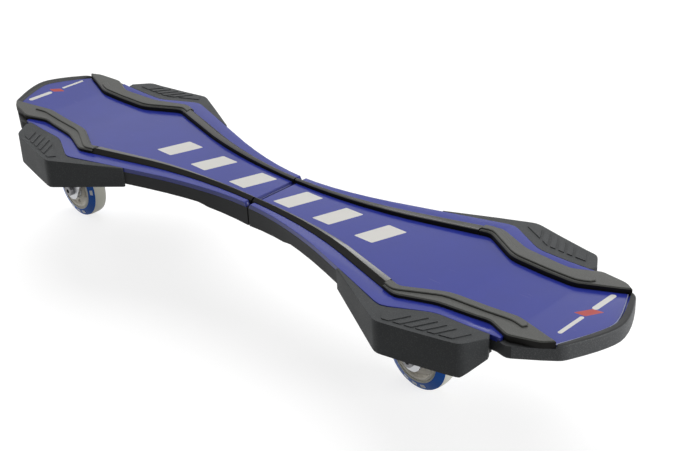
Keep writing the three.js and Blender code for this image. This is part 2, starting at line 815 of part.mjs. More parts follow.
// The wedge under the deck turns its flat pad into the tilted seat of the swivel plate
function casterWedge() {
  const seat = new THREE.Vector2(-swivelOffset, swivelHeight - padHeight);
  const slope = new THREE.Vector2(Math.cos(casterTilt), -Math.sin(casterTilt));
  slope.multiplyScalar(plateHalfLength);
  const [rear, front] = [seat.clone().sub(slope), seat.clone().add(slope)];
  const outline = [
    new THREE.Vector2(-padHalfLength, 0), new THREE.Vector2(-padHalfLength, -wedgeFlange),
    new THREE.Vector2(rear.x - wedgeWall, -wedgeFlange), rear, front,
    new THREE.Vector2(front.x + wedgeWall, front.y + wedgeWall),
    new THREE.Vector2(padHalfLength - wedgeNoseShift, -wedgeFlange),
    new THREE.Vector2(padHalfLength, -wedgeFlange), new THREE.Vector2(padHalfLength, 0),
  ];
  const flange = box([-padHalfLength, padHalfLength], [-padHalfWidth, padHalfWidth], [-wedgeFlange, 0]);
  const body = crossSlab(outline, wedgeHalfWidth).add(flange);
  const core = [
    new THREE.Vector2(rear.x + wedgeWall, overrun),
    new THREE.Vector2(rear.x + wedgeWall, rear.y + wedgeWall),
    new THREE.Vector2(front.x - wedgeWall, front.y + wedgeCoreRise),
    new THREE.Vector2(padHalfLength - wedgeCoreNose, -wedgeFlange),
    new THREE.Vector2(padHalfLength - wedgeCoreNose, overrun),
  ];
  const hollow = crossSlab(core, wedgeHalfWidth - wedgeWall);
  const face = [
    new THREE.Vector2(rear.x + wedgeWeb, -wedgeFlange - wedgeWeb),
    new THREE.Vector2(rear.x + wedgeWeb, rear.y + wedgeWeb),
    new THREE.Vector2(front.x - wedgeWeb, front.y + wedgeCoreRise),
    new THREE.Vector2(padHalfLength - wedgeCoreNose, -wedgeFlange - wedgeWeb),
  ];
  let wedge = body.subtract(hollow);
  for (const side of [-1, 1]) {
    const recess = placed(crossSlab(face, wedgeRecess), 0, side * wedgeHalfWidth, 0);
    wedge = wedge.subtract(recess);
    for (const end of [-1, 1]) {
      const screw = disc(plateBoltHead, -wedgeFlange - plateBoltHeadRise, -wedgeFlange + gap, boltSteps);
      const x = end * (padHalfLength - plateBoltHead - gap);
      wedge = wedge.add(placed(screw, x, side * (padHalfWidth - plateBoltHead - gap), 0));
    }
  }
  const hole = disc(plateBoltRadius + boltClearance, -overrun / 2, plateBoltLength, boltSteps);
  const holes = boltPlaces().map(([x, y]) => placed(hole, x, y, 0));
  holes.push(disc(kingpinHead + gap, -overrun, kingpinHeadRise + gap));
  const tilted = holes.map((one) => placed(one, seat.x, 0, seat.y, [0, casterTilt, 0]));
  return tilted.reduce((all, one) => all.subtract(one), wedge);
}

function boltPlaces() {
  const places = [];
  for (const x of [-plateBoltX, plateBoltX]) {
    for (const y of [-plateBoltY, plateBoltY]) places.push([x, y]);
  }
  return places;
}

function roundedPlate(halfLength, halfWidth, corner) {
  const shape = [];
  const centres = [[1, 1], [-1, 1], [-1, -1], [1, -1]];
  centres.forEach(([sx, sy], quarter) => {
    for (let i = 0; i <= 3; i++) {
      const angle = (quarter + i / 3) * Math.PI / 2;
      shape.push(new THREE.Vector2(sx * (halfLength - corner) + corner * Math.cos(angle),
        sy * (halfWidth - corner) + corner * Math.sin(angle)));
    }
  });
  return shape;
}

// Everything below is in the tilted frame of the swivel: z runs up along its axis
const plateTop = -gap;
const plateBottom = plateTop - plateThickness;
const cupBottom = plateBottom - raceCupRise;
const raceCentre = cupBottom - gap - raceBall;
const crownTop = raceCentre - raceBall - gap;
const crownBottom = crownTop - crownThickness;

function casterPlate() {
  const plate = slab(roundedPlate(plateHalfLength, plateHalfWidth, plateCorner), plateBottom, plateTop);
  const cup = turned([[kingpinRadius, plateTop], [kingpinRadius, cupBottom],
    [raceRadius + raceBall + cupLip, cupBottom], [raceRadius + raceBall + 2 * cupLip, plateBottom],
    [raceRadius + raceBall + 2 * cupLip, plateTop], [kingpinRadius, plateTop]]);
  const hole = disc(plateBoltRadius + boltClearance, -overrun, overrun, boltSteps);
  const holes = boltPlaces().map(([x, y]) => placed(hole, x, y, 0));
  return [...holes, disc(kingpinRadius + gap, -overrun, overrun)]
    .reduce((all, one) => all.subtract(one), plate.add(cup));
}

function plateBolt() {
  return disc(plateBoltRadius, plateBottom - gap * 2, plateBoltLength - plateBoltRoom, boltSteps)
    .add(disc(plateBoltHead, plateBottom - gap - plateBoltHeadRise, plateBottom - gap, boltSteps))
    .subtract(disc(socketRadius, plateBottom - overrun, plateBottom - gap - plateBoltHeadRise / 2, 6));
}

function ballRace() {
  const profile = [];
  for (let i = 0; i <= 6; i++) {
    const angle = i * Math.PI / 3;
    profile.push([raceRadius + raceBall * Math.cos(angle), raceCentre + raceBall * Math.sin(angle)]);
  }
  return turned(profile, smallSteps);
}

function kingpin() {
  const low = crownBottom - gap;
  return turned([
    [0, low - kingpinHeadRise], [kingpinDome, low - kingpinHeadRise],
    [kingpinHead, low - kingpinHeadRise / 2], [kingpinHead, low], [kingpinRadius, low],
    [kingpinRadius, 0], [kingpinHead, 0], [kingpinHead, kingpinHeadRise], [0, kingpinHeadRise],
  ], smallSteps);
}

// Fork: a round crown with two arms, slim at the neck, that carry the axle behind the swivel axis
function forkArm() {
  const heel = crownRadius * armHeelShare;
  const neck = THREE.MathUtils.lerp(crownBottom, -swivelDrop, armNeckShare);
  const outline = [
    new THREE.Vector2(heel, crownBottom), new THREE.Vector2(heel, crownTop),
    new THREE.Vector2(-heel, crownTop), new THREE.Vector2(-heel, crownBottom),
    new THREE.Vector2(-swivelTrail - armNeck, neck),
  ];
  for (let i = 0; i <= armEndSteps; i++) {
    const angle = Math.PI + casterTilt / 2 + i * Math.PI / armEndSteps;
    outline.push(new THREE.Vector2(armEndRadius * Math.cos(angle) - swivelTrail,
      armEndRadius * Math.sin(angle) - swivelDrop));
  }
  return [...outline, new THREE.Vector2(armNeck - swivelTrail, neck)];
}

function fork() {
  const reach = 2 * overrun;
  const between = box([-reach, reach], [-armInner, armInner], [-reach, crownBottom]);
  const arms = crossSlab(forkArm(), armInner + armThickness).subtract(between);
  const bossStart = hubHalfWidth + 2 * gap;
  const boss = turned([[axleRadius, bossStart], [bossRadius, bossStart], [bossRadius, armInner + gap],
    [axleRadius, armInner + gap], [axleRadius, bossStart]], smallSteps);
  let whole = arms.add(disc(crownRadius, crownBottom, crownTop));
  for (const side of [-1, 1]) {
    whole = whole.add(placed(boss, -swivelTrail, 0, -swivelDrop, [-side * Math.PI / 2, 0, 0]));
  }
  const axleHole = disc(axleRadius + gap, -overrun, overrun, smallSteps);
  return whole
    .subtract(placed(axleHole, -swivelTrail, 0, -swivelDrop, [Math.PI / 2, 0, 0]))
    .subtract(disc(kingpinRadius + gap, -overrun, overrun));
}

// Wheels: revolved about their own Z, then laid over so that the axle runs along Y

// The tyre's facets touch the true circle, and one lies flat on the ground
function tyre() {
  const halfFacet = Math.PI / wheelSteps;
  const inner = hubRadius + gap;
  const side = [[inner, wheelHalfWidth], [tyreFaceRadius, wheelHalfWidth],
    [tyreCorner, tyreCornerHalfWidth], [wheelRadius, treadHalfWidth]];
  const other = side.map(([radius, z]) => [radius, -z]).reverse();
  const profile = [...side, ...other, side[0]].map(([radius, z]) => [radius / Math.cos(halfFacet), z]);
  return turned(profile, wheelSteps, halfFacet);
}

function hub() {
  const seat = bearingRadius + gap;
  const stop = hubHalfWidth - bearingWidth - gap;
  const rim = hubRadius - hubRimWall;
  const half = [
    [hubBore, 0], [hubBore, stop], [seat, stop], [seat, hubHalfWidth], [hubBossRadius, hubHalfWidth],
    [hubBossRadius + gap, hubWeb], [rim - gap, hubWeb], [rim, hubHalfWidth], [hubRadius, hubHalfWidth],
  ];
  const other = half.slice(1).map(([radius, z]) => [radius, -z]).reverse();
  let core = turned([...half, ...other, half[0]], roundSteps);
  const middle = (hubBossRadius + rim) / 2;
  const size = (rim - hubBossRadius) / 2 - gap;
  for (let i = 0; i < hubPockets; i++) {
    const angle = i * 2 * Math.PI / hubPockets;
    const hole = disc(size, -overrun, overrun, boltSteps);
    core = core.subtract(placed(hole, middle * Math.cos(angle), middle * Math.sin(angle), 0));
  }
  return core;
}

function bearing() {
  const [inner, outer] = [bearingBore, bearingRadius];
  const half = bearingWidth / 2;
  return turned([[inner, -half], [outer, -half], [outer, half], [inner, half], [inner, -half]], roundSteps);
}

function spacer() {
  const half = hubHalfWidth - bearingWidth - 2 * gap;
  return turned([[bearingBore, -half], [spacerRadius, -half], [spacerRadius, half],
    [bearingBore, half], [bearingBore, -half]], smallSteps);
}

function axleBolt() {
  const seat = armInner + armThickness + gap;
  const end = seat + nutRise + gap;
  return turned([[0, -seat - axleHeadRise], [axleHead - gap, -seat - axleHeadRise], [axleHead, -seat],
    [axleRadius, -seat], [axleRadius, end], [0, end]], smallSteps)
    .subtract(disc(socketRadius, -seat - overrun, -seat - axleHeadRise + socketDepth, 6));
}

function axleNut() {
  const seat = armInner + armThickness + gap;
  return disc(axleHead + gap, seat, seat + nutRise, 6)
    .subtract(disc(axleRadius + gap, -overrun, overrun, smallSteps));
}

function casterGroup(prefix, end) {
  const caster = new THREE.Group();
  const padX = end * casterReach;
  const wedge = meshOf(`${prefix}_caster_wedge`, geometryOf(casterWedge()), blackPlastic);
  wedge.position.set(padX, 0, padHeight);
  caster.add(wedge);
  const swivel = new THREE.Group();
  swivel.position.set(padX - swivelOffset, 0, swivelHeight);
  swivel.rotation.y = casterTilt;
  const wheel = new THREE.Group();
  wheel.position.set(-swivelTrail, 0, -swivelDrop);
  wheel.rotation.y = -casterTilt;
  const add = (group, name, solid, look, offset = [0, 0, 0]) => {
    const mesh = meshOf(`${prefix}_${name}`, geometryOf(solid), look);
    mesh.position.set(...offset);
    group.add(mesh);
  };
  add(swivel, "caster_plate", casterPlate(), zincSteel);
  add(swivel, "ball_race", ballRace(), springSteel);
  add(swivel, "kingpin", kingpin(), zincSteel);
  add(swivel, "caster_fork", fork(), zincSteel);
  boltPlaces().forEach(([x, y], i) => add(swivel, `plate_bolt_${i + 1}`, plateBolt(), darkSteel, [x, y, 0]));
  const across = (solid) => placed(solid, 0, 0, 0, [-Math.PI / 2, 0, 0]);
  const bearingPlace = hubHalfWidth - bearingWidth / 2;
  add(wheel, "wheel_tyre", across(tyre()), urethane);
  add(wheel, "wheel_hub", across(hub()), paleHub);
  add(wheel, "left_bearing", across(bearing()), zincSteel, [0, bearingPlace, 0]);
  add(wheel, "right_bearing", across(bearing()), zincSteel, [0, -bearingPlace, 0]);
  add(wheel, "bearing_spacer", across(spacer()), zincSteel);
  add(wheel, "axle_bolt", across(axleBolt()), darkSteel);
  add(wheel, "axle_nut", across(axleNut()), zincSteel);
  swivel.add(wheel);
  caster.add(swivel);
  return caster;
}

const board = new THREE.Group();
board.add(deckGroup("front", 0), deckGroup("rear", Math.PI), pivotGroup());
board.add(casterGroup("front", 1), casterGroup("rear", -1));

export default board;
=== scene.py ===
import json
import math

import bmesh
import bpy
from mathutils import Matrix, Vector


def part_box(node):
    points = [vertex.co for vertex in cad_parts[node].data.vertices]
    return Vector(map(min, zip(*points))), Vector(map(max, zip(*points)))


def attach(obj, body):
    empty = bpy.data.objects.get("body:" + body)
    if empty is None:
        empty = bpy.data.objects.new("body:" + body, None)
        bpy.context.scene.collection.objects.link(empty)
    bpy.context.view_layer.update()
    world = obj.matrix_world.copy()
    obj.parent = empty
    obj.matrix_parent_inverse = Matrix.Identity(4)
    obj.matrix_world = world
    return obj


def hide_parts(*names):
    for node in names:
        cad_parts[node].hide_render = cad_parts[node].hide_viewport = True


# Looks of the caster board: metres, +X to the front deck, +Z up, ground at z = 0.

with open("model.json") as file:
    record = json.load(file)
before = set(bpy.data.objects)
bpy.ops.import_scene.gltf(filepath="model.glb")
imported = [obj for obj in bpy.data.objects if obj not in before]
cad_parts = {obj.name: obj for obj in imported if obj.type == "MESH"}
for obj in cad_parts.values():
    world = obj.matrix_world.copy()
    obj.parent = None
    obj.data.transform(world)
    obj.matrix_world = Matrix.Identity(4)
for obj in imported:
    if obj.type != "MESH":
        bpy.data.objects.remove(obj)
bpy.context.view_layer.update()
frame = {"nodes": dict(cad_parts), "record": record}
nodes = frame["nodes"]
decks = ("front", "rear")
sides = ("left", "right")
MM = 0.001

# Camera, from the board's outline in the photograph
camera_azimuth = math.radians(46.32)
camera_elevation = math.radians(28.30)
camera_roll = math.radians(-2.88)
camera_distance = 1405.8 * MM
camera_target = Vector((43.3, 45.1, 106.2)) * MM
camera_reach = 100
photo_width = 674
focal_pixels = 1319.8
sensor_width = 36.0

# Rounding and joins
weld = 0.01 * MM
flat_angle = math.radians(0.6)
edge_angle = math.radians(24)
shade_angle = math.radians(38)
fine_edge = 0.3 * MM
soft_edge = 0.5 * MM
round_steps = 2
round_profile = 0.5
turn_steps = 120

# Where a piece changes finish or takes painted light and shade: distances from the seam, and
# shares of a face's normal
seam_reach = 8 * MM
tip_reach = 385 * MM
nose_reach = 390 * MM
edge_top_share = 0.92
edge_foot_share = 0.2
crest_share = 0.3
slope_share = 0.12
shaded_side_share = 0.6
rim_share = 0.3

# Tyre: the tread's rounding is in shares of its half width and drops below its top
wheel_radius = 38 * MM
tyre_half_width = 12 * MM
tyre_edge_half_width = 7.6 * MM
tyre_inner = 26.3 * MM
tyre_lip = 0.4 * MM
tread_round = ((0.45, 0), (0.7, 0.15 * MM), (0.9, 0.6 * MM))
shoulder_top_share = 1.06
shoulder_bend_share = 1.17
shoulder_bend_drop = 1.5 * MM
shoulder_foot_rise = 1 * MM
shoulder_foot_dip = 0.35 * MM
print_inner = 27.9 * MM
print_outer = 37.3 * MM

# Print on the tyre: dashes in short rows, as shares of their part of a turn
dash_half = 2 * MM
dashes_per_turn = 18
dash_share = 0.55
rows_per_turn = 3
row_share = 0.45

# Hub
hub_radius = 26 * MM
hub_half_width = 11.4 * MM
hub_dish = 2.6 * MM
hub_rim = 22.8 * MM
hub_boss = 14 * MM
hub_bore = 11.1 * MM
hub_stop = 8.8 * MM
hub_lip = 0.7 * MM
pocket_count = 5
pocket_share = 0.74
pocket_band_share = 0.25
pocket_level_share = 0.9
pocket_slope = 0.7 * MM
pocket_depth = 1.6 * MM

# Running gear on the axle
axle_head_radius = 6.4 * MM
axle_head_rise = 5 * MM
axle_head_steps = 48
axle_play = 0.4 * MM
socket_sides = 6
socket_radius = 3.0 * MM
socket_depth = 2.8 * MM
head_chamfer = 0.6 * MM
bearing_radius = 11 * MM
bearing_bore = 4 * MM
bearing_half = 3.5 * MM
bearing_lip = 0.4 * MM
shield_inner = 6.1 * MM
shield_outer = 9.4 * MM
shield_drop = 0.5 * MM

# Bars over the waist: places along the board in mm, the same size for all
bar_places = (-160, -101, -37, 33, 91, 150)
bar_centre_y = 1.3 * MM
bar_half_length = 18.8 * MM
bar_half_width = 12 * MM
bar_slant = 0.32
bar_round = 1.5 * MM

# Print at each nose: two round-ended strokes (centre y, half length, half width, in mm) and
# one lozenge
nose_print_x = {"front": 391.5 * MM, "rear": -401 * MM}
nose_strokes = {
    "front": ((-18.9, 17.2, 2.2), (29.7, 15.8, 3.2)),
    "rear": ((-22.4, 16.2, 2.9), (25.2, 15.4, 1.8)),
}
nose_lozenge_y = {"front": 7 * MM, "rear": 1.5 * MM}
nose_lozenge_half_x = {"front": 6 * MM, "rear": 4.5 * MM}
nose_lozenge_half_y = {"front": 7 * MM, "rear": 5.5 * MM}
nose_lozenge_slant = 0.7
nose_lozenge_round = 1 * MM

# Colours, as scene values
white_ink = (0.62, 0.61, 0.58, 1)
red_ink = (0.40, 0.035, 0.03, 1)
blue_shell = (0.024, 0.036, 0.290, 1)
blue_scuffed = (0.16, 0.17, 0.36, 1)
blue_ring = (0.007, 0.115, 0.52, 1)
# Painted shade: a deeper blue for the rolled ends at the seam between the decks
seam_shade_blue = (0.012, 0.020, 0.20, 1)
ring_dash = (0.90, 0.92, 0.94, 1)
milky_light = (0.66, 0.65, 0.58, 1)
milky_dark = (0.54, 0.54, 0.47, 1)
shield_dark = (0.10, 0.10, 0.11, 1)
steel_light = (0.55, 0.56, 0.58, 1)
floor_grey = (0.31, 0.31, 0.31, 1)
plain_white = (1, 1, 1, 1)

# Grain: how fine it is, its relief, and where flecks and scuffs begin in their noise
fine_grain = 1800.0
coarse_grain = 950.0
even_grain = 900.0
urethane_grain = 700.0
gloss_ripple = 420.0
grain_relief = 0.1 * MM
grain_detail = 3
slow_scale = 26
slow_detail = 4
noise_middle = 0.5
fleck_start = 0.57
scuff_turn = math.radians(23)
scuff_stretch = (30, 520, 260)
scuff_detail = 5
scuff_start = 0.69
patch_scale = 34
patch_start = 0.52

# Slow unevenness: the spread of the sheen, and the share of the colour that is left
moulded_spread = 0.16
panel_spread = 0.06
metal_spread = 0.3
wheel_spread = 0.2
shade_share = 0.8
metal_shade_share = 0.7

# Floor and light: the floor and the sky are brighter where they are seen than where they light
floor_half = 30
floor_roughness = 0.9
floor_glow = 0.77
sky_seen = 0.85
sky_lit = 0.15
overhead_place = (-0.25, 0.35, 1)
overhead_strength = 2.05
overhead_spread = math.radians(46)
panel_lights = {
    "low_back": {"place": (-0.95, 1.5, 0.82), "target": (0.1, 0, 0.15),
                 "size": (1.1, 0.22), "power": 1.8, "mirrored": True},
    "left_side": {"place": (-2.0, -0.1, 0.45), "target": (0, 0, 0.12),
                  "size": (1.6, 0.9), "power": 28, "mirrored": False},
    "right_side": {"place": (1.9, 0.5, 0.6), "target": (0.2, 0, 0.12),
                   "size": (1.4, 0.9), "power": 30, "mirrored": True},
}


# Shader groups

def mapped_group(name, inputs, outputs):
    """A new shader group on coordinates with named numbers, its input node and output node."""
    group = bpy.data.node_groups.new(name, "ShaderNodeTree")
    group.interface.new_socket("Vector", in_out="INPUT", socket_type="NodeSocketVector")
    for label, value in inputs.items():
        socket = group.interface.new_socket(label, in_out="INPUT", socket_type="NodeSocketFloat")
        socket.default_value = value
    for label in outputs:
        kind = "NodeSocketVector" if label == "Normal" else "NodeSocketFloat"
        group.interface.new_socket(label, in_out="OUTPUT", socket_type=kind)
    return group, group.nodes.new("NodeGroupInput"), group.nodes.new("NodeGroupOutput")


def reckon(tree, operation, first, second=None, third=None, clamp=False):
    """A Math node on sockets or plain numbers, and its result."""
    node = tree.nodes.new("ShaderNodeMath")
    node.operation = operation
    node.use_clamp = clamp
    for slot, value in enumerate((first, second, third)):
        if value is None:
            continue
        if isinstance(value, (int, float)):
            node.inputs[slot].default_value = value
        else:
            tree.links.new(value, node.inputs[slot])
    return node.outputs[0]


def blend_colour(tree, amount, first, second):
    """A Mix node on colours, whose colour sockets have the numbers 6 and 7, and its result."""
    node = tree.nodes.new("ShaderNodeMix")
    node.data_type = "RGBA"
    sockets = (node.inputs[0], node.inputs[6], node.inputs[7])
    for socket, value in zip(sockets, (amount, first, second)):
        if isinstance(value, (int, float, tuple)):
            socket.default_value = value
        else:
            tree.links.new(value, socket)
    return node.outputs[2]


def grain_group():
    """Fine moulded grain with slow unevenness below it."""
    group, start, end = mapped_group(
        "moulded_grain",
        {"Scale": fine_grain, "Depth": 0.2, "Sheen Spread": 0.08, "Roughness": 0.5},
        ("Normal", "Roughness", "Shade", "Fleck"))
    fine = group.nodes.new("ShaderNodeTexNoise")
    fine.inputs["Detail"].default_value = grain_detail
    slow = group.nodes.new("ShaderNodeTexNoise")
    slow.inputs["Scale"].default_value = slow_scale
    slow.inputs["Detail"].default_value = slow_detail
    bump = group.nodes.new("ShaderNodeBump")
    bump.inputs["Distance"].default_value = grain_relief
    links = group.links
    links.new(start.outputs["Vector"], fine.inputs["Vector"])
    links.new(start.outputs["Scale"], fine.inputs["Scale"])
    links.new(start.outputs["Vector"], slow.inputs["Vector"])
    links.new(start.outputs["Depth"], bump.inputs["Strength"])
    links.new(fine.outputs["Fac"], bump.inputs["Height"])
    links.new(bump.outputs["Normal"], end.inputs["Normal"])
    swing = reckon(group, "SUBTRACT", slow.outputs["Fac"], noise_middle)
    spread = reckon(group, "MULTIPLY", swing, start.outputs["Sheen Spread"])
    rough = reckon(group, "ADD", start.outputs["Roughness"], spread, clamp=True)
    links.new(rough, end.inputs["Roughness"])
    links.new(slow.outputs["Fac"], end.inputs["Shade"])
    flecks = reckon(group, "GREATER_THAN", fine.outputs["Fac"], fleck_start)
    links.new(flecks, end.inputs["Fleck"])
    return group


def scuff_group():
    """Short pale hairlines in patches, as handling leaves them."""
    group, start, end = mapped_group("handling_scuffs", {"Amount": 0.3}, ("Mask",))
    stretch = group.nodes.new("ShaderNodeMapping")
    stretch.inputs["Rotation"].default_value = (0, 0, scuff_turn)
    stretch.inputs["Scale"].default_value = scuff_stretch
    hair = group.nodes.new("ShaderNodeTexNoise")
    hair.inputs["Scale"].default_value = 1
    hair.inputs["Detail"].default_value = scuff_detail
    patch = group.nodes.new("ShaderNodeTexNoise")
    patch.inputs["Scale"].default_value = patch_scale
    links = group.links
    links.new(start.outputs["Vector"], stretch.inputs["Vector"])
    links.new(stretch.outputs["Vector"], hair.inputs["Vector"])
    links.new(start.outputs["Vector"], patch.inputs["Vector"])
    lines = reckon(group, "GREATER_THAN", hair.outputs["Fac"], scuff_start)
    field = reckon(group, "GREATER_THAN", patch.outputs["Fac"], patch_start)
    both = reckon(group, "MULTIPLY", lines, field)
    links.new(reckon(group, "MULTIPLY", both, start.outputs["Amount"]), end.inputs["Mask"])
    return group


def bar_group():
    """A straight printed bar with rounded corners: 1 inside it, 0 outside."""
    group, start, end = mapped_group(
        "printed_bar",
        {"Centre X": 0.0, "Centre Y": 0.0, "Half X": 0.01, "Half Y": 0.01, "Slant": 0.0,
         "Round": 0.001},
        ("Mask",))
    split = group.nodes.new("ShaderNodeSeparateXYZ")
    group.links.new(start.outputs["Vector"], split.inputs[0])
    across = reckon(group, "SUBTRACT", split.outputs["Y"], start.outputs["Centre Y"])
    lean = reckon(group, "MULTIPLY", across, start.outputs["Slant"])
    along = reckon(group, "SUBTRACT", split.outputs["X"], start.outputs["Centre X"])
    along = reckon(group, "ABSOLUTE", reckon(group, "SUBTRACT", along, lean))
    across = reckon(group, "ABSOLUTE", across)
    corner = start.outputs["Round"]
    over = []
    for distance, half in ((along, "Half X"), (across, "Half Y")):
        core = reckon(group, "SUBTRACT", start.outputs[half], corner)
        past = reckon(group, "MAXIMUM", reckon(group, "SUBTRACT", distance, core), 0.0)
        over.append(reckon(group, "MULTIPLY", past, past))
    reach = reckon(group, "SQRT", reckon(group, "ADD", over[0], over[1]))
    group.links.new(reckon(group, "LESS_THAN", reach, corner), end.inputs["Mask"])
    return group


def radius_group():
    """Distance from an axle along Y, the turn round it, and the distance from its middle."""
    group, start, end = mapped_group(
        "round_the_axle", {"Centre X": 0.0, "Centre Z": 0.0}, ("Radius", "Turn", "Side"))
    split = group.nodes.new("ShaderNodeSeparateXYZ")
    group.links.new(start.outputs["Vector"], split.inputs[0])
    x = reckon(group, "SUBTRACT", split.outputs["X"], start.outputs["Centre X"])
    z = reckon(group, "SUBTRACT", split.outputs["Z"], start.outputs["Centre Z"])
    x_square, z_square = (reckon(group, "MULTIPLY", share, share) for share in (x, z))
    square = reckon(group, "ADD", x_square, z_square)
    group.links.new(reckon(group, "SQRT", square), end.inputs["Radius"])
    group.links.new(reckon(group, "ARCTAN2", z, x), end.inputs["Turn"])
    group.links.new(reckon(group, "ABSOLUTE", split.outputs["Y"]), end.inputs["Side"])
    return group


grain = grain_group()
scuffs = scuff_group()
printed_bar = bar_group()
round_axle = radius_group()


# Materials

def started(name):
    """A new material, its Principled shader and its Object coordinates."""
    material = bpy.data.materials.new(name)
    material.use_nodes = True
    tree = material.node_tree
    place = tree.nodes.new("ShaderNodeTexCoord").outputs["Object"]
    return material, tree, tree.nodes["Principled BSDF"], place


def placed_group(tree, group, place, **values):
    """A shader group placed in a material, with its own values."""
    node = tree.nodes.new("ShaderNodeGroup")
    node.node_tree = group
    tree.links.new(place, node.inputs["Vector"])
    for label, value in values.items():
        node.inputs[label.replace("_", " ")].default_value = value
    return node


def darker(colour, share):
    """A share of a colour's light, still opaque."""
    return tuple(share * c for c in colour[:3]) + (1,)


def skinned(tree, shader, place, roughness, scale, depth, spread):
    """Grain and uneven sheen on a shader, with the slow shade and the flecks of that grain."""
    skin = placed_group(tree, grain, place, Scale=scale, Depth=depth, Sheen_Spread=spread,
                        Roughness=roughness)
    tree.links.new(skin.outputs["Roughness"], shader.inputs["Roughness"])
    tree.links.new(skin.outputs["Normal"], shader.inputs["Normal"])
    return skin.outputs["Shade"], skin.outputs["Fleck"]


def moulded(name, colour, pale, roughness, scale=fine_grain, depth=0.3, wear=0.25,
            specular=0.35, fleck=0.0):
    """Moulded plastic: grain, uneven sheen, slow shade, pale flecks and light scuffs."""
    material, tree, shader, place = started(name)
    shade, flecks = skinned(tree, shader, place, roughness, scale, depth, moulded_spread)
    worn = placed_group(tree, scuffs, place, Amount=wear)
    body = blend_colour(tree, shade, colour, darker(colour, shade_share))
    if fleck:
        body = blend_colour(tree, reckon(tree, "MULTIPLY", flecks, fleck), body, pale)
    rubbed = blend_colour(tree, worn.outputs["Mask"], body, pale)
    tree.links.new(rubbed, shader.inputs["Base Color"])
    shader.inputs["Specular IOR Level"].default_value = specular
    return material


def metal(name, colour, roughness):
    """Plated steel with faint mottling."""
    material, tree, shader, place = started(name)
    shade, _ = skinned(tree, shader, place, roughness, scale=even_grain, depth=0.12,
                       spread=metal_spread)
    mottled = blend_colour(tree, shade, colour, darker(colour, metal_shade_share))
    tree.links.new(mottled, shader.inputs["Base Color"])
    shader.inputs["Metallic"].default_value = 1
    return material


def print_mask(tree, place, bars):
    """The joined masks of several bars: centre x, centre y, half x, half y, slant, corner."""
    joined = None
    for centre_x, centre_y, half_x, half_y, slant, corner in bars:
        bar = placed_group(tree, printed_bar, place, Centre_X=centre_x, Centre_Y=centre_y,
                           Half_X=half_x, Half_Y=half_y, Slant=slant, Round=corner)
        mask = bar.outputs["Mask"]
        joined = mask if joined is None else reckon(tree, "MAXIMUM", joined, mask)
    return joined


def panel_blue(deck):
    """Glossy blue with the plain bars and the plain nose print of one deck's panel."""
    material, tree, shader, place = started(f"{deck}_panel_blue")
    facing = 1 if deck == "front" else -1
    shade, _ = skinned(tree, shader, place, roughness=0.15, scale=gloss_ripple, depth=0.05,
                       spread=panel_spread)
    worn = placed_group(tree, scuffs, place, Amount=0.12)
    bars = [(x * MM, bar_centre_y, bar_half_width, bar_half_length, bar_slant, bar_round)
            for x in bar_places if x * facing > 0]
    bars += [(nose_print_x[deck], y * MM, half_x * MM, half_y * MM, 0.0, half_x * MM)
             for y, half_y, half_x in nose_strokes[deck]]
    lozenge = [(nose_print_x[deck], nose_lozenge_y[deck], nose_lozenge_half_x[deck],
                nose_lozenge_half_y[deck], nose_lozenge_slant, nose_lozenge_round)]
    body = blend_colour(tree, shade, blue_shell, darker(blue_shell, shade_share))
    inked = blend_colour(tree, print_mask(tree, place, bars), body, white_ink)
    marked = blend_colour(tree, print_mask(tree, place, lozenge), inked, red_ink)
    rubbed = blend_colour(tree, worn.outputs["Mask"], marked, blue_scuffed)
    tree.links.new(rubbed, shader.inputs["Base Color"])
    shader.inputs["Specular IOR Level"].default_value = 0.35
    return material


def tyre_urethane(deck, centre):
    """Milky urethane with a printed blue ring and dashes on the sloping shoulders."""
    material, tree, shader, place = started(f"{deck}_milky_urethane")
    around = placed_group(tree, round_axle, place, Centre_X=centre.x, Centre_Z=centre.z)
    radius, turn, side = (around.outputs[label] for label in ("Radius", "Turn", "Side"))

    def repeated(count, share):
        """1 over the first share of each of so many equal parts of a turn, else 0."""
        part = reckon(tree, "FRACT", reckon(tree, "MULTIPLY", turn, count / math.tau))
        return reckon(tree, "LESS_THAN", part, share)

    inner = reckon(tree, "GREATER_THAN", radius, print_inner)
    outer = reckon(tree, "LESS_THAN", radius, print_outer)
    face = reckon(tree, "GREATER_THAN", side, tyre_edge_half_width)
    ring = reckon(tree, "MULTIPLY", reckon(tree, "MULTIPLY", inner, outer), face)
    dash = repeated(dashes_per_turn, dash_share)
    row = repeated(rows_per_turn, row_share)
    off_lane = reckon(tree, "SUBTRACT", radius, (print_inner + print_outer) / 2)
    lane = reckon(tree, "LESS_THAN", reckon(tree, "ABSOLUTE", off_lane), dash_half)
    dashes = reckon(tree, "MULTIPLY", reckon(tree, "MULTIPLY", dash, row),
                    reckon(tree, "MULTIPLY", lane, ring))
    shade, _ = skinned(tree, shader, place, roughness=0.42, scale=urethane_grain, depth=0.08,
                       spread=wheel_spread)
    milky = blend_colour(tree, shade, milky_light, milky_dark)
    ringed = blend_colour(tree, ring, milky, blue_ring)
    printed = blend_colour(tree, dashes, ringed, ring_dash)
    tree.links.new(printed, shader.inputs["Base Color"])
    shader.inputs["Subsurface Weight"].default_value = 0.05
    shader.inputs["Subsurface Radius"].default_value = (0.004, 0.0035, 0.003)
    shader.inputs["Specular IOR Level"].default_value = 0.2
    return material


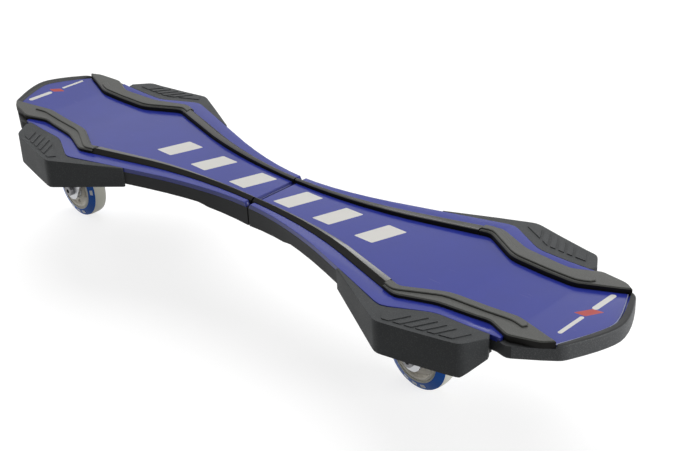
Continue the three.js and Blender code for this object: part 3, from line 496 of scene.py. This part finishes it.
def bearing_steel(deck, centre):
    """Ground steel rings with a dark shield between them."""
    material, tree, shader, place = started(f"{deck}_bearing_steel")
    around = placed_group(tree, round_axle, place, Centre_X=centre.x, Centre_Z=centre.z)
    radius = around.outputs["Radius"]
    shield = reckon(tree, "MULTIPLY", reckon(tree, "GREATER_THAN", radius, shield_inner),
                    reckon(tree, "LESS_THAN", radius, shield_outer))
    shade, _ = skinned(tree, shader, place, roughness=0.3, scale=even_grain, depth=0.05,
                       spread=wheel_spread)
    steel = blend_colour(tree, shade, steel_light, darker(steel_light, shade_share))
    shielded = blend_colour(tree, shield, steel, shield_dark)
    tree.links.new(shielded, shader.inputs["Base Color"])
    tree.links.new(reckon(tree, "SUBTRACT", 1.0, shield), shader.inputs["Metallic"])
    return material


black_plastic = moulded(
    "black_moulding", colour=(0.033, 0.034, 0.035, 1), pale=(0.08, 0.08, 0.08, 1),
    roughness=0.52, scale=coarse_grain, depth=0.8, wear=0.2, specular=0.14)
# Black rail plastic, also used as painted shade on the foot rails' sides and in the gap along
# the panels' edges
rail_black_and_painted_shade = moulded(
    "rail_black_and_painted_shade", colour=(0.014, 0.0135, 0.0125, 1), pale=(0.05, 0.05, 0.05, 1),
    roughness=0.45, scale=even_grain, depth=0.1, wear=0.1, specular=0.08)
rail_crest = moulded(
    "rail_crest", colour=(0.022, 0.021, 0.019, 1), pale=(0.10, 0.10, 0.09, 1),
    roughness=0.16, scale=even_grain, depth=0.04, wear=0.1, specular=0.7)
rail_grey = moulded(
    "soft_grey_rail", colour=(0.038, 0.039, 0.034, 1), pale=(0.11, 0.11, 0.10, 1),
    roughness=0.42, scale=coarse_grain, depth=0.7, wear=0.3, specular=0.35, fleck=0.22)
# Speckled grey rim at the noses, and painted light: only nose faces turned along the board,
# toward the nose lamps, get this lighter grey
nose_grey_and_painted_light = moulded(
    "speckled_nose_rim_and_painted_light", colour=(0.062, 0.065, 0.068, 1), pale=(0.14, 0.14, 0.14, 1),
    roughness=0.55, scale=coarse_grain, depth=0.9, wear=0.3, specular=0.2, fleck=0.4)
bumper_grey = moulded(
    "soft_grey_bumper", colour=(0.050, 0.053, 0.055, 1), pale=(0.12, 0.12, 0.12, 1),
    roughness=0.55, scale=coarse_grain, depth=0.8, wear=0.3, specular=0.12, fleck=0.22)
cover_blue = moulded(
    "gloss_blue_cover", colour=blue_shell, pale=blue_scuffed,
    roughness=0.2, scale=gloss_ripple, depth=0.05, wear=0.1)
# Painted shade on the rolled ends at the seam, where the decks meet
seam_painted_shade = moulded(
    "painted_shade_seam_end", colour=seam_shade_blue, pale=blue_scuffed,
    roughness=0.3, scale=gloss_ripple, depth=0.05, wear=0.05)
# Painted highlight: a pale blue on the panels' nose edges, where light catches them
painted_highlight_edge = moulded(
    "painted_highlight_panel_edge", colour=(0.30, 0.33, 0.50, 1), pale=blue_scuffed,
    roughness=0.3, scale=gloss_ripple, depth=0.05, wear=0.1)
nylon = moulded(
    "natural_nylon", colour=(0.62, 0.60, 0.54, 1), pale=(0.7, 0.68, 0.62, 1),
    roughness=0.5, depth=0.2)
pale_hub = moulded(
    "pale_hub", colour=(0.90, 0.86, 0.77, 1), pale=(0.82, 0.78, 0.70, 1),
    roughness=0.36, scale=even_grain, depth=0.12)
zinc = metal("bright_zinc", colour=(0.60, 0.61, 0.63, 1), roughness=0.34)
dark_zinc = metal("dark_zinc", colour=(0.24, 0.24, 0.25, 1), roughness=0.38)
spring_steel = metal("oiled_steel", colour=(0.30, 0.31, 0.33, 1), roughness=0.3)

node_finish = {
    "deck_base": black_plastic, "deck_cover": cover_blue, "top_panel": cover_blue,
    "caster_wedge": black_plastic, "waist_rail": rail_black_and_painted_shade, "foot_rail": rail_grey,
    "bumper": bumper_grey, "tube_cap": black_plastic, "bar_anchor": dark_zinc,
    "pivot_tube": zinc, "torsion_bar": spring_steel, "clamp_sleeve": dark_zinc, "bush": nylon,
    "caster_plate": zinc, "kingpin": zinc, "plate_bolt": dark_zinc, "ball_race": spring_steel,
    "caster_fork": zinc, "bearing_spacer": zinc, "axle_bolt": dark_zinc, "axle_nut": zinc,
    "wheel_tyre": nylon, "wheel_hub": pale_hub, "bearing": zinc,
}


def finish_of(name):
    """The material of a CAD node, by the first part name in the table that its name holds."""
    return next(look for part, look in node_finish.items() if part in name)


# Making pieces

record = frame["record"]
body_of = {node: body for body, group in record["behaviour"]["bodies"].items() for node in group}


def stand_in(shape, node, look=None):
    """Turns a finished bmesh into the piece that is shown for a CAD node."""
    mesh = bpy.data.meshes.new(f"{node}_skin")
    shape.to_mesh(mesh)
    shape.free()
    mesh.polygons.foreach_set("use_smooth", [True] * len(mesh.polygons))
    mesh.set_sharp_from_angle(angle=shade_angle)
    mesh.materials.append(look or finish_of(node))
    piece = bpy.data.objects.new(f"{node}_skin", mesh)
    bpy.context.scene.collection.objects.link(piece)
    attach(piece, body_of[node])
    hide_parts(node)
    normals = piece.modifiers.new("even_normals", "WEIGHTED_NORMAL")
    normals.keep_sharp = True
    return piece


def merged_copy(node):
    """A bmesh of a CAD node's own shape, with its triangles joined to flat faces."""
    shape = bmesh.new()
    shape.from_mesh(nodes[node].data)
    bmesh.ops.remove_doubles(shape, verts=shape.verts, dist=weld)
    bmesh.ops.dissolve_limit(shape, angle_limit=flat_angle, verts=shape.verts, edges=shape.edges)
    return shape


def softened(node, width):
    """A CAD node's own shape with its sharp edges rounded, shown in its place."""
    shape = merged_copy(node)
    sharp = [edge for edge in shape.edges
             if edge.is_manifold and edge.calc_face_angle(0) > edge_angle]
    bmesh.ops.bevel(shape, geom=sharp, offset=width, affect="EDGES", segments=round_steps,
                    profile=round_profile, material=-1, clamp_overlap=True)
    return stand_in(shape, node)


def smoothed(node, look=None):
    """A CAD node's own shape with smooth shading, shown in its place."""
    return stand_in(merged_copy(node), node, look)


def relooked(piece, look, chosen):
    """Gives the chosen faces of a piece another material."""
    piece.data.materials.append(look)
    for face in piece.data.polygons:
        if chosen(face):
            face.material_index = len(piece.data.materials) - 1


def crested(node):
    """A waist rail with a satin crest, and dull flanks and outer slope."""
    outward = 1 if "left" in node else -1
    relooked(softened(node, fine_edge), rail_crest,
             lambda face: face.normal.z > crest_share
             and face.normal.y * outward < slope_share)


def edged(node, look):
    """A panel with painted shade on its seam end, a painted highlight on its nose edge and a
    painted shadow line in the gap by the rails.
    """
    piece = smoothed(node, look)
    # Painted shade on the panel's rolled end at the seam
    relooked(piece, seam_painted_shade,
             lambda face: abs(face.center.x) < seam_reach and face.normal.z < edge_top_share)
    # Painted highlight on the chamfer faces of the panel's nose edge
    relooked(piece, painted_highlight_edge,
             lambda face: abs(face.center.x) > tip_reach
             and edge_foot_share < face.normal.z < edge_top_share)
    # Painted shadow: the panel's side faces along the rails are black, for the shade in the gap
    relooked(piece, rail_black_and_painted_shade,
             lambda face: seam_reach < abs(face.center.x) < tip_reach
             and face.normal.z < edge_top_share)


def spun(profile, centre):
    """A closed ring turned about the Y axis through a centre, from pairs of radius and y."""
    shape = bmesh.new()
    ring = [shape.verts.new((radius, y, 0)) for radius, y in profile]
    edges = [shape.edges.new((a, b)) for a, b in zip(ring, ring[1:] + ring[:1])]
    bmesh.ops.spin(shape, geom=ring + edges, cent=(0, 0, 0), axis=(0, 1, 0), angle=math.tau,
                   steps=turn_steps, use_merge=True)
    bmesh.ops.remove_doubles(shape, verts=shape.verts, dist=weld)
    bmesh.ops.recalc_face_normals(shape, faces=shape.faces)
    bmesh.ops.translate(shape, verts=shape.verts, vec=centre)
    return shape


def both_faces(side):
    """A turned profile and its mirror image, which share the points on the wheel's middle."""
    return side + [(radius, -y) for radius, y in reversed(side) if y > 0]


# Wheels

def wheel_centre(deck):
    """The middle of a wheel on its axle."""
    low, high = (Vector(corner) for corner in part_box(f"{deck}_wheel_tyre"))
    return Vector(((low.x + high.x) / 2, (low.y + high.y) / 2, wheel_radius))


def tyre(deck):
    """A tyre with a crowned tread, sloping shoulders and a narrow flat face by the hub."""
    centre = wheel_centre(deck)
    face, edge = tyre_half_width, tyre_edge_half_width
    side = [(wheel_radius, 0)]
    side += [(wheel_radius - drop, edge * share) for share, drop in tread_round]
    side += [
        (print_outer, edge * shoulder_top_share),
        (print_outer - shoulder_bend_drop, edge * shoulder_bend_share),
        (print_inner + shoulder_foot_rise, face - shoulder_foot_dip), (print_inner, face),
        (tyre_inner + tyre_lip, face), (tyre_inner, face - tyre_lip), (tyre_inner, 0),
    ]
    stand_in(spun(both_faces(side), centre), f"{deck}_wheel_tyre", tyre_urethane(deck, centre))


def sunk_pockets(shape, centre):
    """Sinks evenly spaced pockets into the web on both faces of a turned hub."""
    web = (hub_boss + hub_rim) / 2
    band = (hub_rim - hub_boss) * pocket_band_share
    step = math.tau / pocket_count
    for side in (-1, 1):
        for count in range(pocket_count):
            pocket = []
            for face in shape.faces:
                at = face.calc_center_median() - centre
                radius = math.hypot(at.x, at.z)
                swing = (math.atan2(at.z, at.x) - count * step + math.pi) % math.tau - math.pi
                level = face.normal.y * side > pocket_level_share
                if level and abs(radius - web) < band and abs(swing) < step * pocket_share / 2:
                    pocket.append(face)
            bmesh.ops.inset_region(shape, faces=pocket, thickness=pocket_slope, depth=0)
            bmesh.ops.inset_region(shape, faces=pocket, thickness=pocket_slope,
                                   depth=-pocket_depth)


def hub(deck):
    """A hub with a rim, a dished web with pockets, and a boss with a seat for each bearing."""
    centre = wheel_centre(deck)
    lip, face = hub_lip, hub_half_width
    web, stop = face - hub_dish, face - bearing_half * 2
    side = [
        (hub_radius, 0), (hub_radius, face - lip), (hub_radius - lip, face),
        (hub_rim + lip, face), (hub_rim, face - lip), (hub_rim - lip, web),
        (hub_boss + 2 * lip, web), (hub_boss, face - lip), (hub_boss - lip, face),
        (hub_bore + lip, face), (hub_bore, face - lip), (hub_bore, stop),
        (hub_stop, stop), (hub_stop, 0),
    ]
    shape = spun(both_faces(side), centre)
    sunk_pockets(shape, centre)
    stand_in(shape, f"{deck}_wheel_hub")


def bearing(node, centre, look):
    """A bearing with two rings and a sunk shield between them."""
    low, high = (Vector(corner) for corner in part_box(node))
    middle = Vector((centre.x, (low.y + high.y) / 2, centre.z))
    lip, face, sunk = bearing_lip, bearing_half, bearing_half - shield_drop
    side = [
        (bearing_bore, face - lip), (bearing_bore + lip, face), (shield_inner - lip, face),
        (shield_inner, sunk), (shield_outer, sunk),
        (shield_outer + lip, face), (bearing_radius - lip, face), (bearing_radius, face - lip),
    ]
    stand_in(spun(both_faces(side), middle), node, look)


def axle_bolt(deck):
    """Round cap head with a six-sided socket, on its plain shank."""
    node = f"{deck}_axle_bolt"
    centre = wheel_centre(deck)
    low, high = (Vector(corner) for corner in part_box(node))
    top, seat = low.y, low.y + axle_head_rise
    shape = bmesh.new()
    lay = Matrix.Rotation(math.pi / 2, 4, "X")
    rim = bmesh.ops.create_circle(shape, segments=axle_head_steps,
                                  radius=axle_head_radius - head_chamfer, matrix=lay)
    socket = bmesh.ops.create_circle(shape, segments=socket_sides, radius=socket_radius,
                                     matrix=lay)
    bmesh.ops.bridge_loops(shape, edges=shape.edges[:])
    bmesh.ops.translate(shape, verts=shape.verts, vec=(0, top, 0))

    def ring_of(corners, radius, y):
        """Extrudes a ring of edges to a new radius and y, and gives the new corners."""
        edges = [edge for edge in shape.edges if all(corner in corners for corner in edge.verts)]
        made = bmesh.ops.extrude_edge_only(shape, edges=edges)["geom"]
        fresh = [item for item in made if isinstance(item, bmesh.types.BMVert)]
        for corner in fresh:
            flat = Vector((corner.co.x, 0, corner.co.z)).normalized() * radius
            corner.co = Vector((flat.x, y, flat.z))
        return set(fresh)

    shank = bearing_bore - axle_play
    outer = ring_of(set(rim["verts"]), axle_head_radius, top + head_chamfer)
    outer = ring_of(outer, axle_head_radius, seat)
    outer = ring_of(outer, shank, seat)
    outer = ring_of(outer, shank, high.y - head_chamfer)
    outer = ring_of(outer, shank - head_chamfer, high.y)
    inner = ring_of(set(socket["verts"]), socket_radius, top + socket_depth)
    bmesh.ops.contextual_create(shape, geom=list(inner))
    bmesh.ops.contextual_create(shape, geom=list(outer))
    bmesh.ops.recalc_face_normals(shape, faces=shape.faces)
    bmesh.ops.translate(shape, verts=shape.verts, vec=(centre.x, 0, centre.z))
    stand_in(shape, node)


for deck in decks:
    edged(f"{deck}_top_panel", panel_blue(deck))
    # Painted shade on the cover's end at the seam
    relooked(smoothed(f"{deck}_deck_cover"), seam_painted_shade,
             lambda face: abs(face.center.x) < seam_reach)
    # Speckled grey on the nose faces turned along the board: partly painted light
    relooked(smoothed(f"{deck}_deck_base"), nose_grey_and_painted_light,
             lambda face: abs(face.center.x) > nose_reach and abs(face.normal.x) > rim_share)
    for side in sides:
        crested(f"{deck}_{side}_waist_rail")
        # Painted shade: the foot rails' steep sides take the black rail material, darker than
        # their grey tops
        relooked(softened(f"{deck}_{side}_foot_rail", fine_edge), rail_black_and_painted_shade,
                 lambda face: face.normal.z < shaded_side_share)
        softened(f"{deck}_{side}_bumper", fine_edge)
    for part in ("caster_wedge", "caster_plate", "caster_fork", "bar_anchor", "tube_cap",
                 "axle_nut"):
        softened(f"{deck}_{part}", soft_edge)
    tyre(deck)
    hub(deck)
    axle_bolt(deck)
    steel = bearing_steel(deck, wheel_centre(deck))
    for side in sides:
        bearing(f"{deck}_{side}_bearing", wheel_centre(deck), steel)

# The nodes that are shown as they are get their finish, and so do those that are replaced
for name, node in nodes.items():
    node.data.materials.clear()
    node.data.materials.append(finish_of(name))


# Floor, light and camera

def seen_rays(tree):
    """1 for rays that show a surface, straight, mirrored or through glass, 0 for the rest."""
    path = tree.nodes.new("ShaderNodeLightPath")
    seen = reckon(tree, "MAXIMUM", path.outputs["Is Camera Ray"], path.outputs["Is Glossy Ray"])
    return reckon(tree, "MAXIMUM", seen, path.outputs["Is Transmission Ray"])


def pale_floor():
    """A pale floor that keeps a light shadow of the board and is clear from below."""
    shape = bmesh.new()
    bmesh.ops.create_grid(shape, x_segments=1, y_segments=1, size=floor_half)
    mesh = bpy.data.meshes.new("floor")
    shape.to_mesh(mesh)
    shape.free()
    floor = bpy.data.objects.new("floor", mesh)
    bpy.context.scene.collection.objects.link(floor)
    material, tree, shader, _ = started("pale_floor")
    shader.inputs["Base Color"].default_value = floor_grey
    shader.inputs["Roughness"].default_value = floor_roughness
    shader.inputs["Specular IOR Level"].default_value = 0
    shader.inputs["Emission Color"].default_value = plain_white
    glow = reckon(tree, "MULTIPLY", seen_rays(tree), floor_glow)
    tree.links.new(glow, shader.inputs["Emission Strength"])
    from_below = tree.nodes.new("ShaderNodeNewGeometry").outputs["Backfacing"]
    clear = tree.nodes.new("ShaderNodeBsdfTransparent")
    one_way = tree.nodes.new("ShaderNodeMixShader")
    tree.links.new(from_below, one_way.inputs[0])
    tree.links.new(shader.outputs[0], one_way.inputs[1])
    tree.links.new(clear.outputs[0], one_way.inputs[2])
    tree.links.new(one_way.outputs[0], tree.nodes["Material Output"].inputs["Surface"])
    mesh.materials.append(material)


def aimed(lamp, place, target):
    """Sets a lamp at a place, turned to a target."""
    turn = (Vector(target) - Vector(place)).to_track_quat("-Z", "Y").to_matrix().to_4x4()
    lamp.matrix_world = Matrix.Translation(place) @ turn
    bpy.context.scene.collection.objects.link(lamp)


def soft_panel(name, place, target, size, power, mirrored):
    """A rectangular studio lamp, which may be left out of mirrored light."""
    light = bpy.data.lights.new(name, "AREA")
    light.shape = "RECTANGLE"
    light.size, light.size_y = size
    light.energy = power
    lamp = bpy.data.objects.new(name, light)
    lamp.visible_glossy = mirrored
    aimed(lamp, place, target)


def studio():
    """An even white surrounding, a broad light from above and three soft panels."""
    world = bpy.data.worlds.new("studio")
    world.use_nodes = True
    bpy.context.scene.world = world
    tree = world.node_tree
    background = tree.nodes["Background"]
    strength = reckon(tree, "MULTIPLY_ADD", seen_rays(tree), sky_seen, sky_lit)
    tree.links.new(strength, background.inputs["Strength"])
    background.inputs["Color"].default_value = plain_white
    overhead = bpy.data.lights.new("overhead", "SUN")
    overhead.energy = overhead_strength
    overhead.angle = overhead_spread
    aimed(bpy.data.objects.new("overhead", overhead), overhead_place, (0, 0, 0))
    for name, settings in panel_lights.items():
        soft_panel(name, **settings)


def photo_camera():
    """A camera that sees the board as the photograph does."""
    level = math.cos(camera_elevation)
    back = Vector((math.sin(camera_azimuth) * level, -math.cos(camera_azimuth) * level,
                   math.sin(camera_elevation)))
    right = (-back).cross(Vector((0, 0, 1))).normalized()
    up = right.cross(-back)
    turned_right = math.cos(camera_roll) * right + math.sin(camera_roll) * up
    turned_up = math.cos(camera_roll) * up - math.sin(camera_roll) * right
    data = bpy.data.cameras.new("photo_camera")
    data.sensor_fit = "HORIZONTAL"
    data.sensor_width = sensor_width
    data.lens = focal_pixels / photo_width * sensor_width
    data.clip_end = camera_reach
    camera = bpy.data.objects.new("photo_camera", data)
    bpy.context.scene.collection.objects.link(camera)
    turn = Matrix((turned_right, turned_up, back)).transposed().to_4x4()
    camera.matrix_world = Matrix.Translation(camera_target + camera_distance * back) @ turn
    bpy.context.scene.camera = camera


pale_floor()
studio()
photo_camera()
bpy.context.scene.view_settings.view_transform = "Standard"
